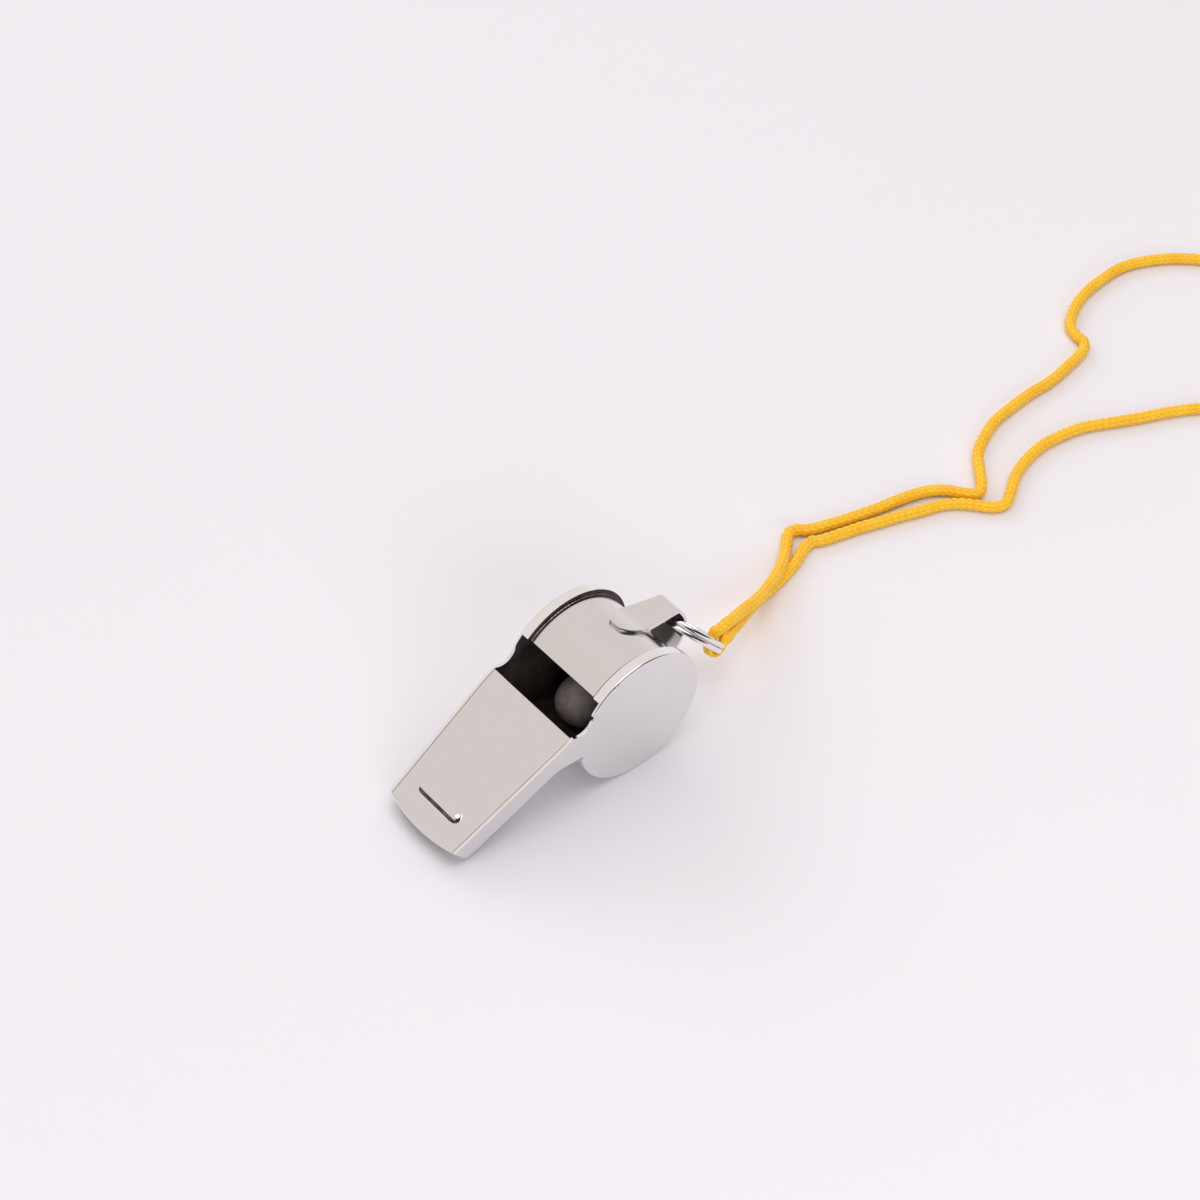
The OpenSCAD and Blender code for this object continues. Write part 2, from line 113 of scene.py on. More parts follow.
ROUTE_B = [
    (27.6, -2.5, 7.4), (29.3, -1.5, 6.6), (31.2, -0.5, 5.7), (33.4, 0.7, 4.6), (35.8, 2, 3.4),
    (38.5, 3.4, 2.2), (41.3, 4.5, 1.3), (43.4, 5.1, LIE), (45.4, 5.5, LIE), (48, 6.2, LIE),
    (50.6, 7, LIE), (52.9, 8.1, LIE), (54.4, 8.6, LIE), (55.7, 8.7, LIE), (56.8, 8.1, LIE),
    (60, 7.3, LIE), (63.4, 6.5, LIE), (66.7, 5.5, LIE), (70, 4.6, LIE), (73.3, 3.5, LIE),
    (76.7, 2.5, LIE), (79.2, 1, LIE), (81, -0.8, LIE), (82.8, -2.7, LIE), (84.9, -3.3, LIE),
    (87.4, -2, LIE), (90.7, 0.1, LIE), (94.7, 1.6, LIE), (99.2, 2.4, LIE), (103.7, 2.1, LIE),
    (107.2, 1.4, LIE), (110.3, 0.1, LIE), (115.8, -2.4, LIE), (120.8, -4.4, LIE),
    (125.8, -7, LIE), (130.8, -10.5, LIE), (135.8, -15, 1.2), (140.8, -20, 1.9),
    (145.3, -23.8, 2.6)]
COIL_MIDDLE = (154.4, -10.5)
COIL_R = 10.2
COIL_TURNS = 4
COIL_PITCH = 2.25
COIL_CLIMB = 2.2
COIL_ENTER = 30
COIL_LEAVE = -90
COIL_STEPS = 24
LAYER_TURNS = COIL_TURNS + (COIL_ENTER - COIL_LEAVE) / 720

# Cord mesh, mm: the length in view from each end, the steps between rings of points in view
# and in the coil, and where the cord swells to its full thickness above the ring
SEEN_LENGTH = 168.0
FINE_STEP = 0.155
COARSE_STEP = 0.42
SWELL_FROM = 2.2
SWELL_TO = 3.4
CORD_SIDES = 24
CORD_BENDS = 10
CORD_PATH_STEPS = 1200

# Ring mesh
RING_TURNS = 2
RING_STEPS = 150
WIRE_SIDES = 20
WIRE_END_EDGE = 0.00006

# Shell in its own side view, mm: limits between outside, rims and the air inside
PLATE_INSIDE = 8.0
STRIP_EDGE = 6.6
CHAMBER_R = 9.2
CHEEK_START = -10.5
CHEEK_TAPER = 0.0675
CREST_START = 10.35

# Sheet meshes: what is merged, what counts as flat and what gets a rounded edge
MERGE = 2e-7
FLAT = math.radians(0.4)
ROUNDED_FROM = math.radians(40)
ROUNDED_TO = math.radians(150)
SHORTEST_EDGE = 0.0001

# Line of painted shade on the barrel beside each rim, where it meets the rim's foot, in metres
# from the middle plane
BARREL_SHADE_BAND = (0.00624, 0.00642)

# Finishes of a sheet piece, as places in its list of materials: plated, then painted shade with
# some stain in the cavities, painted shade, painted reflection and shade on the lug's bow floor,
# and a painted highlight on the rim crests
PLATED, CAVITY_SHADE_AND_STAIN, SHADED, BOW_FLOOR, CREST_HIGHLIGHT = range(5)


# ---------- settings ----------

class WhistleSizes(bpy.types.PropertyGroup):
    """Sizes of the details that finish the whistle"""
    edge: bpy.props.FloatProperty(
        name="Edge rounding", description="Width of the rounding of the sheet edges",
        default=0.00009, min=0.00002, max=0.00015, precision=5, unit="LENGTH")
    plate_edge: bpy.props.FloatProperty(
        name="Plate edge rounding", description="Width of the rounding of the side plates",
        default=0.00016, min=0.00002, max=0.0002, precision=5, unit="LENGTH")
    lug_edge: bpy.props.FloatProperty(
        name="Lug edge rounding", description="Width of the rounding along the folded lug",
        default=0.00012, min=0.00002, max=0.0002, precision=5, unit="LENGTH")
    cord: bpy.props.FloatProperty(
        name="Cord diameter", description="Diameter of the knitted cord over its stitches",
        default=0.0019, min=0.0012, max=0.002, precision=4, unit="LENGTH")
    stitch: bpy.props.FloatProperty(
        name="Stitch length", description="Length of one stitch along the cord",
        default=0.00115, min=0.0008, max=0.002, precision=5, unit="LENGTH")
    stitch_depth: bpy.props.FloatProperty(
        name="Stitch depth", description="Depth of the grooves between the stitches",
        default=0.00026, min=0.0, max=0.0003, precision=5, unit="LENGTH")
    grain: bpy.props.FloatProperty(
        name="Pea grain", description="Height of the grain on the pea",
        default=0.00004, min=0.0, max=0.0002, precision=5, unit="LENGTH")


class WhistleColours(bpy.types.PropertyGroup):
    """Colours of the whistle and its stage"""
    steel: bpy.props.FloatVectorProperty(
        name="Plated steel", description="Colour of the nickel plated sheet",
        subtype="COLOR", default=(0.80, 0.785, 0.785), min=0, max=1)
    # The rim crest's colour is lighter than the plated steel as a painted highlight
    rim: bpy.props.FloatVectorProperty(
        name="Rim crest", description="Colour of the rim crests, lightened as a painted highlight",
        subtype="COLOR", default=(0.94, 0.925, 0.92), min=0, max=1)
    wire: bpy.props.FloatVectorProperty(
        name="Ring wire", description="Colour of the bright ring wire",
        subtype="COLOR", default=(0.56, 0.51, 0.49), min=0, max=1)
    pea: bpy.props.FloatVectorProperty(
        name="Pea", description="Colour of the pressed cork pea",
        subtype="COLOR", default=(0.50, 0.44, 0.43), min=0, max=1)
    # The two cord colours are a painted highlight on top of the stitches and painted shade in the
    # grooves between them
    cord_crown_highlight: bpy.props.FloatVectorProperty(
        name="Cord, raised yarn", description="Colour of the yarn as a painted highlight on top of the stitches",
        subtype="COLOR", default=(1.0, 0.74, 0.06), min=0, max=1)
    cord_groove_shade: bpy.props.FloatVectorProperty(
        name="Cord, grooves", description="Colour of the yarn as painted shade between the stitches",
        subtype="COLOR", default=(1.0, 0.40, 0.004), min=0, max=1)
    floor: bpy.props.FloatVectorProperty(
        name="Floor", description="Colour of the paper floor",
        subtype="COLOR", default=(0.865, 0.852, 0.905), min=0, max=1)


# ---------- shader pieces ----------

def new_material(name):
    """A node material with an empty Principled BSDF, its tree and that shader"""
    material = bpy.data.materials.new(name)
    material.use_nodes = True
    tree = material.node_tree
    return material, tree, tree.nodes["Principled BSDF"]


def wire_up(tree, *pairs):
    """Joins output and input sockets, given in pairs"""
    for source, target in pairs:
        tree.links.new(source, target)


def object_place(tree):
    """Coordinates in the piece's own space"""
    return tree.nodes.new("ShaderNodeTexCoord").outputs["Object"]


def one_axis(tree, vector, axis):
    """One coordinate of a vector"""
    parts = tree.nodes.new("ShaderNodeSeparateXYZ")
    tree.links.new(vector, parts.inputs[0])
    return parts.outputs[axis]


def maths(tree, operation, *values):
    """Result of a maths node over the given sockets"""
    node = tree.nodes.new("ShaderNodeMath")
    node.operation = operation
    for value, socket in zip(values, node.inputs):
        tree.links.new(value, socket)
    return node.outputs[0]


def map_range(tree, value, low, high, to_low, to_high):
    """A value rescaled from one range to another"""
    node = tree.nodes.new("ShaderNodeMapRange")
    node.inputs["From Min"].default_value = low
    node.inputs["From Max"].default_value = high
    node.inputs["To Min"].default_value = to_low
    node.inputs["To Max"].default_value = to_high
    tree.links.new(value, node.inputs["Value"])
    return node.outputs["Result"]


def noise_value(tree, vector, scale, detail, roughness=0.5):
    """A noise texture's value on the given coordinates"""
    node = tree.nodes.new("ShaderNodeTexNoise")
    node.inputs["Scale"].default_value = scale
    node.inputs["Detail"].default_value = detail
    node.inputs["Roughness"].default_value = roughness
    tree.links.new(vector, node.inputs["Vector"])
    return node.outputs["Fac"]


def blend_colours(tree, factor, a, b, blend_type="MIX"):
    """Colour mix whose ends are either sockets or plain colours"""
    node = tree.nodes.new("ShaderNodeMix")
    node.data_type = "RGBA"
    node.blend_type = blend_type
    tree.links.new(factor, node.inputs["Factor"])
    for end, key in ((a, "A"), (b, "B")):
        socket = [s for s in node.inputs if s.name == key and s.type == "RGBA"][0]
        if isinstance(end, bpy.types.NodeSocket):
            tree.links.new(end, socket)
        else:
            socket.default_value = (*end, 1)
    return [s for s in node.outputs if s.type == "RGBA"][0]


def plated_surface():
    """Node group: finger smears, polishing lines and plating waves of handled bright metal"""
    found = bpy.data.node_groups.get("Plated surface")
    if found:
        return found
    group = bpy.data.node_groups.new("Plated surface", "ShaderNodeTree")
    face = group.interface
    face.new_socket("Colour", in_out="INPUT", socket_type="NodeSocketColor")
    face.new_socket("Smear", in_out="INPUT", socket_type="NodeSocketFloat")
    face.new_socket("Colour", in_out="OUTPUT", socket_type="NodeSocketColor")
    face.new_socket("Roughness", in_out="OUTPUT", socket_type="NodeSocketFloat")
    face.new_socket("Height", in_out="OUTPUT", socket_type="NodeSocketFloat")
    source = group.nodes.new("NodeGroupInput")
    target = group.nodes.new("NodeGroupOutput")
    place = object_place(group)
    turned = group.nodes.new("ShaderNodeMapping")
    turned.inputs["Rotation"].default_value = (0, TILT, 0)
    stretched = group.nodes.new("ShaderNodeMapping")
    stretched.inputs["Scale"].default_value = (1, 14, 14)
    wire_up(group, (place, turned.inputs["Vector"]),
            (turned.outputs["Vector"], stretched.inputs["Vector"]))
    smears = noise_value(group, place, 190, 4, 0.62)
    waves = noise_value(group, place, 420, 2)
    lines = noise_value(group, stretched.outputs["Vector"], 900, 3, 0.6)
    tint = map_range(group, smears, 0.35, 0.75, 0, 1)
    smeared = maths(group, "MULTIPLY", tint, source.outputs["Smear"])
    shade = blend_colours(group, smeared, source.outputs["Colour"], (0.965, 0.94, 0.915),
                          "MULTIPLY")
    spread = map_range(group, smears, 0.3, 0.75, 0.12, 0.26)
    grain = map_range(group, lines, 0.3, 0.7, -0.03, 0.03)
    fine = map_range(group, lines, 0, 1, 0, 0.12)
    wire_up(group, (shade, target.inputs["Colour"]),
            (maths(group, "ADD", spread, grain), target.inputs["Roughness"]),
            (maths(group, "ADD", waves, fine), target.inputs["Height"]))
    return group


def add_rim_shade_line(tree, colour, inner, outer):
    """Colour with a painted shade line where the barrel meets the foot of each rim"""
    side = maths(tree, "ABSOLUTE", one_axis(tree, object_place(tree), "Y"))
    line = map_range(tree, side, inner, outer, 0, 1)
    return blend_colours(tree, line, colour, (0.16, 0.14, 0.135))


def bright_metal(name, colour, smear, wave, painted_rim_line=None):
    """Bright plated metal with the handling marks of the shared group, and a painted shade line
    at each rim's foot when one is given
    """
    material, tree, shader = new_material(name)
    marks = tree.nodes.new("ShaderNodeGroup")
    marks.node_tree = plated_surface()
    marks.inputs["Colour"].default_value = (*colour, 1)
    marks.inputs["Smear"].default_value = smear
    bump = tree.nodes.new("ShaderNodeBump")
    bump.inputs["Strength"].default_value = 1
    bump.inputs["Distance"].default_value = wave
    shader.inputs["Metallic"].default_value = 1
    shade = marks.outputs["Colour"]
    if painted_rim_line:
        shade = add_rim_shade_line(tree, shade, *painted_rim_line)
    wire_up(tree, (shade, shader.inputs["Base Color"]),
            (marks.outputs["Roughness"], shader.inputs["Roughness"]),
            (marks.outputs["Height"], bump.inputs["Height"]),
            (bump.outputs["Normal"], shader.inputs["Normal"]))
    return material


def shaded_chamber_metal():
    """Painted shade with some stain: dark, dull metal inside the chamber and the windway, where
    little light gets in
    """
    material, tree, shader = new_material("chamber_shade_and_stain")
    place = object_place(tree)
    stain = map_range(tree, noise_value(tree, place, 260, 5, 0.65), 0.35, 0.7, 0, 1)
    shade = blend_colours(tree, stain, (0.050, 0.038, 0.035), (0.160, 0.130, 0.118))
    rough = map_range(tree, stain, 0, 1, 0.65, 0.45)
    shader.inputs["Metallic"].default_value = 0.5
    wire_up(tree, (shade, shader.inputs["Base Color"]), (rough, shader.inputs["Roughness"]))
    return material


def shade_painted_metal():
    """Painted shade: dark plated metal for the shade inside the lug and on the rims' inner walls,
    and a painted dark reflection on the bite ridge's slope
    """
    material, tree, shader = new_material("dark_shade_paint")
    place = object_place(tree)
    cloud = map_range(tree, noise_value(tree, place, 900, 3), 0.35, 0.7, 0, 1)
    shade = blend_colours(tree, cloud, (0.035, 0.026, 0.024), (0.16, 0.13, 0.125))
    shader.inputs["Metallic"].default_value = 0.85
    shader.inputs["Roughness"].default_value = 0.3
    tree.links.new(shade, shader.inputs["Base Color"])
    return material


def lug_floor():
    """Inside of the lug's lowest bend: a painted reflection, bright at its near edge, and painted
    shade farther in
    """
    material, tree, shader = new_material("lug_floor")
    deep = map_range(tree, one_axis(tree, object_place(tree), "Y"), -0.0013, -0.0007, 0, 1)
    shade = blend_colours(tree, deep, (0.92, 0.90, 0.91), (0.10, 0.085, 0.08))
    shader.inputs["Metallic"].default_value = 0.1
    shader.inputs["Roughness"].default_value = 0.45
    tree.links.new(shade, shader.inputs["Base Color"])
    return material


def pressed_cork(colour):
    """Dark pressed cork with pale streaks between its grains"""
    material, tree, shader = new_material("pea_cork")
    place = object_place(tree)
    cells = tree.nodes.new("ShaderNodeTexVoronoi")
    cells.feature = "DISTANCE_TO_EDGE"
    cells.inputs["Scale"].default_value = 620
    warp = tree.nodes.new("ShaderNodeTexNoise")
    warp.inputs["Scale"].default_value = 500
    warp.inputs["Detail"].default_value = 3
    bent = tree.nodes.new("ShaderNodeVectorMath")
    bent.operation = "MULTIPLY_ADD"
    bent.inputs[1].default_value = (0.0012, 0.0012, 0.0012)
    wire_up(tree, (place, warp.inputs["Vector"]), (warp.outputs["Color"], bent.inputs[0]),
            (place, bent.inputs[2]), (bent.outputs[0], cells.inputs["Vector"]))
    edge = map_range(tree, cells.outputs["Distance"], 0.0, 0.12, 1, 0)
    cloud = map_range(tree, noise_value(tree, place, 330, 4, 0.6), 0.4, 0.7, 0, 1)
    streak = maths(tree, "MULTIPLY", edge, cloud)
    base = blend_colours(tree, cloud, [c * 0.75 for c in colour], [c * 1.35 for c in colour])
    shade = blend_colours(tree, streak, base, (0.66, 0.60, 0.58))
    bump = tree.nodes.new("ShaderNodeBump")
    bump.inputs["Distance"].default_value = 0.00004
    shader.inputs["Roughness"].default_value = 0.62
    wire_up(tree, (shade, shader.inputs["Base Color"]),
            (noise_value(tree, place, 2400, 4, 0.7), bump.inputs["Height"]),
            (bump.outputs["Normal"], shader.inputs["Normal"]))
    return material


def knitted_yarn(light, deep):
    """Smooth bright yarn, with a painted highlight on the crowns of the stitches and painted
    shade in the grooves
    """
    material, tree, shader = new_material("knitted_cord")
    crown = tree.nodes.new("ShaderNodeAttribute")
    crown.attribute_name = "crown"
    place = object_place(tree)
    patch = map_range(tree, noise_value(tree, place, 300, 3), 0.3, 0.7, -0.14, 0.14)
    fibre = map_range(tree, noise_value(tree, place, 6500, 3, 0.7), 0.3, 0.7, -0.16, 0.16)
    # The stitch height in the crown attribute sets the painted highlight and groove shade; the
    # patches and fibres are the yarn's own random tone
    level = maths(tree, "ADD", crown.outputs["Fac"], patch)
    tone = maths(tree, "ADD", level, fibre)
    tone.node.use_clamp = True
    shade = blend_colours(tree, tone, deep, light)
    bump = tree.nodes.new("ShaderNodeBump")
    bump.inputs["Distance"].default_value = 0.00003
    shader.inputs["Roughness"].default_value = 0.55
    shader.inputs["Specular IOR Level"].default_value = 0.35
    shader.inputs["Sheen Weight"].default_value = 0.1
    shader.inputs["Sheen Roughness"].default_value = 0.4
    wire_up(tree, (shade, shader.inputs["Base Color"]), (fibre, bump.inputs["Height"]),
            (bump.outputs["Normal"], shader.inputs["Normal"]))
    return material


def paper_floor(colour):
    """Plain matt paper"""
    material, tree, shader = new_material("floor_paper")
    place = object_place(tree)
    cloud = map_range(tree, noise_value(tree, place, 6, 2), 0.3, 0.7, 0, 1)
    shade = blend_colours(tree, cloud, [c * 0.99 for c in colour], colour)
    shader.inputs["Roughness"].default_value = 0.9
    shader.inputs["Specular IOR Level"].default_value = 0.1
    tree.links.new(shade, shader.inputs["Base Color"])
    return material


# ---------- mesh pieces ----------

def finished_object(name, bm, materials, body, smooth_angle=40):
    """Puts a bmesh, given in metres in the shared frame, into the scene as a piece"""
    mesh = bpy.data.meshes.new(name)
    bm.to_mesh(mesh)
    bm.free()
    for material in materials:
        mesh.materials.append(material)
    mesh.polygons.foreach_set("use_smooth", [True] * len(mesh.polygons))
    mesh.set_sharp_from_angle(angle=math.radians(smooth_angle))
    piece = bpy.data.objects.new(name, mesh)
    bpy.context.scene.collection.objects.link(piece)
    if body:
        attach(piece, body)
    return piece


def in_cavity(point, normal):
    """Whether a face, in the shell's own side view, looks into the chamber or the windway"""
    x, y, z = point
    drawn_in = CHEEK_TAPER * max(0.0, CHEEK_START - x)
    in_rim = abs(y) > STRIP_EDGE and abs(normal.y) < 0.8
    if abs(y) > PLATE_INSIDE - drawn_in or in_rim:
        return False
    chamber = math.hypot(x, z) < CHAMBER_R
    windway = x < -9 and 6.7 < z < 9.0
    throat = -9.3 < x < 0 and 0 < z < 6.8
    return chamber or windway or throat


def under_lug(point, normal):
    """Finish of a lug face: painted shade inside and under the bow, painted reflection and
    painted shade on the bow's floor
    """
    x, _, z = point
    inward = normal.x < -0.5 and x > 11.5
    below = normal.z < -0.5 and x > 8.5 and z > 0
    if inward or below:
        return SHADED
    floor = normal.z > 0.3 and normal.x < 0.6 and x > 8.5 and z < 2
    return BOW_FLOOR if floor else PLATED


def ridge_slope(point, normal):
    """Finish of a roof face: a painted dark reflection on the bite ridge's slope on the tip's
    side
    """
    steep = -0.7 < normal.x < -0.25 and normal.z > 0.1 and abs(point.y) < 4.6
    return SHADED if steep and -28.5 < point.x < -20 else PLATED


def rim_finish(point, normal):
    """Finish of a side plate face: painted shade on the rim's inner wall, a painted highlight on
    its crest
    """
    inward = -normal.y if point.y > 0 else normal.y
    reach = math.hypot(point.x, point.z)
    if inward > 0.3 and abs(point.y) < 7.2 and reach > 9.6:
        return SHADED
    return CREST_HIGHLIGHT if reach > CREST_START and abs(normal.y) < 0.3 else PLATED


def rounded_sheet(node, name, edge, finish_of=None):
    """A CAD sheet piece, copied, merged and given rounded edges, painted shade with some stain on
    its sides inside the cavities, and the finishes that finish_of picks
    """
    bm = bmesh.new()
    bm.from_mesh(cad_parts[node].data)
    bmesh.ops.remove_doubles(bm, verts=bm.verts, dist=MERGE)
    bmesh.ops.dissolve_limit(bm, angle_limit=FLAT, verts=bm.verts, edges=bm.edges)
    turn = TO_SHELL.to_3x3().normalized()
    for face in bm.faces:
        middle = TO_SHELL @ face.calc_center_median()
        normal = turn @ face.normal
        inside = CAVITY_SHADE_AND_STAIN if in_cavity(middle + normal * 0.1, normal) else PLATED
        finish = finish_of(middle, normal) if finish_of else PLATED
        face.material_index = finish or inside
    sharp = [e for e in bm.edges if len(e.link_faces) == 2 and e.calc_length() > SHORTEST_EDGE
             and ROUNDED_FROM < e.calc_face_angle() < ROUNDED_TO]
    bmesh.ops.bevel(bm, geom=sharp, offset=edge, offset_type="OFFSET", segments=3,
                    profile=0.5, affect="EDGES", clamp_overlap=True, material=PLATED)
    # Materials in the order of the finishes: plated steel, painted shade with some stain, painted
    # shade, the bow floor's painted reflection and shade, the rim crest's painted highlight
    first = "barrel_steel" if node == "barrel_strip" else "plated_steel"
    materials = [bpy.data.materials[key]
                 for key in (first, "chamber_shade_and_stain", "dark_shade_paint", "lug_floor", "rim_painted_highlight")]
    piece = finished_object(name, bm, materials, "whistle", 42)
    normals = piece.modifiers.new("flat faces stay flat", "WEIGHTED_NORMAL")
    normals.keep_sharp = True
    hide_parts(node)
    return piece


def clamped(value):
    """The value, kept between 0 and 1"""
    return min(1.0, max(0.0, value))


def eased(value):
    """Soft step from 0 to 1"""
    share = clamped(value)
    return share * share * (3 - 2 * share)


def smooth_line(points, steps):
    """Evenly bent line through points, with the given number of steps from each to the next"""
    line = []
    last = len(points) - 1
    for i in range(last):
        a, b = points[i], points[i + 1]
        before = points[i - 1] if i else a + (a - b)
        after = points[i + 2] if i + 2 <= last else b + (b - a)
        span = (b - a).length
        enter = (b - before) * (span / max((b - before).length, 1e-9))
        leave = (after - a) * (span / max((after - a).length, 1e-9))
        for k in range(steps):
            t = k / steps
            line.append(a * (2 * t ** 3 - 3 * t ** 2 + 1) + enter * (t ** 3 - 2 * t ** 2 + t)
                        + b * (3 * t ** 2 - 2 * t ** 3) + leave * (t ** 3 - t ** 2))
    line.append(points[-1].copy())
    return line


def lengths_along(line):
    """Length run from the first point to each point of a line"""
    run = [0.0]
    for a, b in zip(line, line[1:]):
        run.append(run[-1] + (b - a).length)
    return run


def resampled(line, stops):
    """Points of a line at the given lengths along it"""
    run = lengths_along(line)
    found, i = [], 0
    for stop in stops:
        while i < len(run) - 2 and run[i + 1] < stop:
            i += 1
        share = (stop - run[i]) / max(run[i + 1] - run[i], 1e-12)
        found.append(line[i].lerp(line[i + 1], clamped(share)))
    return found


def carried_frames(line, first_side):
    """Heading and side direction at each point, carried along the line without twist"""
    ahead = []
    for i in range(len(line)):
        a, b = line[max(i - 1, 0)], line[min(i + 1, len(line) - 1)]
        ahead.append((b - a).normalized())
    side = first_side - ahead[0] * first_side.dot(ahead[0])
    sides = [side.normalized()]
    for i in range(1, len(line)):
        turn = ahead[i - 1].rotation_difference(ahead[i])
        side = turn @ sides[-1]
        side -= ahead[i] * side.dot(ahead[i])
        sides.append(side.normalized())
    return ahead, sides


def swept_tube(line, sides_at, ahead, around, section):
    """A tube on a bmesh grid: section(i, angle) gives its reach to the side and across"""
    bm = bmesh.new()
    rings = len(line)
    bmesh.ops.create_grid(bm, x_segments=around, y_segments=rings - 1, size=1)
    bm.verts.ensure_lookup_table()
    for index, vert in enumerate(bm.verts):
        i, k = divmod(index, around + 1)
        angle = 2 * math.pi * (k % around) / around
        to_side, across = section(i, angle)
        up = ahead[i].cross(sides_at[i])
        vert.co = (line[i] + sides_at[i] * to_side + up * across) * MM
    return bm


# ---------- cord ----------

def coil_point(u):
    """Point of the coil, u turns after the cord enters it"""
    least = COIL_R - LAYER_TURNS * COIL_PITCH / 2
    r = least + COIL_PITCH * abs(u - LAYER_TURNS)
    a = math.radians(COIL_ENTER - 360 * u)
    z = LIE + COIL_CLIMB * eased((u - LAYER_TURNS) * 2 + 0.5)
    return Vector((COIL_MIDDLE[0] + r * math.cos(a), COIL_MIDDLE[1] + r * math.sin(a), z))


def bight_point(out, up):
    """Point beside the ring wire where the cord is looped round it"""
    reach = RING_R + out
    return (RING_MIDDLE + RING_OUT * (reach * math.cos(CORD_PLACE))
            + RING_SIDE * (reach * math.sin(CORD_PLACE)) + RING_UP * up)


def bight_turn(angle):
    """Point of the half round under the wire; 0 is the inner arm and pi the outer arm"""
    return bight_point(-BIGHT_R * math.cos(angle), -RING_HALF - BIGHT_R * math.sin(angle))


def cord_line(cord):
    """Middle line of the whole cord in mm, from under the ring round to there again"""
    arm_top = ARM_LENGTH - RING_HALF
    lead = cord / 4
    last = round(2 * LAYER_TURNS * COIL_STEPS)
    coil = [coil_point(2 * LAYER_TURNS * i / last) for i in range(last + 1)]
    coil_in = coil[0] - (coil[1] - coil[0]).normalized() * cord
    coil_out = coil[-1] + (coil[-1] - coil[-2]).normalized() * cord
    steps = [math.pi * k / 12 for k in range(6, -1, -1)]
    inner = [bight_turn(a) for a in steps]
    outer = [bight_turn(math.pi - a) for a in reversed(steps)]
    run_a = [bight_point(-BIGHT_R, arm_top), bight_point(-BIGHT_R, arm_top + lead)]
    run_b = [bight_point(BIGHT_R, arm_top), bight_point(BIGHT_R, arm_top + lead)]
    points = (inner + run_a + [Vector(p) for p in ROUTE_A] + [coil_in] + coil + [coil_out]
              + [Vector(p) for p in reversed(ROUTE_B)] + run_b[::-1] + outer)
    return smooth_line(points, CORD_BENDS)


def knit_height(along, angle, stitch, wales=4):
    """Height, from 0 to 1, of the knitted surface: columns of stitches shaped like a V"""
    across = (angle * wales / (2 * math.pi)) % 1.0
    leg = abs(across - 0.5) * 2
    phase = along / stitch - 0.85 * leg
    wave = 0.5 + 0.5 * math.cos(2 * math.pi * phase)
    round_leg = math.sin(math.pi * clamped(leg))
    return (0.25 + 0.75 * wave ** 0.8) * (0.35 + 0.65 * round_leg ** 0.6)


def cord_stops(total):
    """Lengths at which the cord has a ring of points: close in view, wider in the coil"""
    stops, s = [], 0.0
    while s < total:
        stops.append(s)
        in_view = s < SEEN_LENGTH or s > total - SEEN_LENGTH
        s += FINE_STEP if in_view else COARSE_STEP
    if total - stops[-1] < FINE_STEP / 2:
        stops.pop()
    return stops + [total]


def closed_frames(line, stops, wide):
    """Heading and side directions of the closed cord, its leftover roll let out in the coil"""
    ahead, sides = carried_frames(line, wide)
    ahead[0] = ahead[-1] = (ahead[0] + ahead[-1]).normalized()
    flat = wide - ahead[-1] * wide.dot(ahead[-1])
    flat.normalize()
    up = ahead[-1].cross(sides[-1])
    roll = math.atan2(flat.dot(up), flat.dot(sides[-1]))
    put_away = stops[-1] - 2 * SEEN_LENGTH
    for i, stop in enumerate(stops):
        share = clamped((stop - SEEN_LENGTH) / put_away)
        sides[i] = Matrix.Rotation(roll * share, 3, ahead[i]) @ sides[i]
    sides[0] = (sides[0] - ahead[0] * sides[0].dot(ahead[0])).normalized()
    sides[-1] = sides[0].copy()
    return ahead, sides


def make_cord(sizes, colours):
    """The knitted cord: one closed loop through the ring, its far part put away in a coil"""
    cord = sizes.cord / MM
    depth = sizes.stitch_depth / MM
    rough_line = cord_line(cord)
    total = lengths_along(rough_line)[-1]
    stitch = total / round(total / (sizes.stitch / MM))
    stops = cord_stops(total)
    line = resampled(rough_line, stops)
    wide = RING_UP.cross(RING_OUT * math.cos(CORD_PLACE) + RING_SIDE * math.sin(CORD_PLACE))
    ahead, sides = closed_frames(line, stops, wide)
    crowns = []

    def section(i, angle):
        from_ring = min(stops[i], total - stops[i])
        free = eased((from_ring - SWELL_FROM) / (SWELL_TO - SWELL_FROM))
        half_wide = (FLAT_WIDE * (1 - free) + cord * free) / 2
        half_thick = (FLAT_THICK * (1 - free) + cord * free) / 2
        height = knit_height(stops[i], angle, stitch)
        # The stitch height is kept on each point for the yarn's painted highlight and groove
        # shade
        crowns.append(height)
        deep = depth * (1 - height) * (0.55 + 0.45 * free)
        return (half_wide - deep) * math.cos(angle), (half_thick - deep) * math.sin(angle)

    bm = swept_tube(line, sides, ahead, CORD_SIDES, section)
    layer = bm.verts.layers.float.new("crown")
    for vert, crown in zip(bm.verts, crowns):
        vert[layer] = crown
    bmesh.ops.remove_doubles(bm, verts=bm.verts, dist=2e-6)
    bmesh.ops.recalc_face_normals(bm, faces=bm.faces)
    yarn = knitted_yarn(colours.cord_crown_highlight, colours.cord_groove_shade)
    piece = finished_object("neck_cord", bm, [yarn], None, 80)
    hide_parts("lanyard_bight", "lanyard_run_a", "lanyard_run_b", "lanyard_coil")
    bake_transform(piece)
    marks = [total * k / CORD_PATH_STEPS for k in range(CORD_PATH_STEPS + 1)]
    path = [tuple(p * MM) for p in resampled(rough_line, marks)]


# ---------- ring, pea ----------

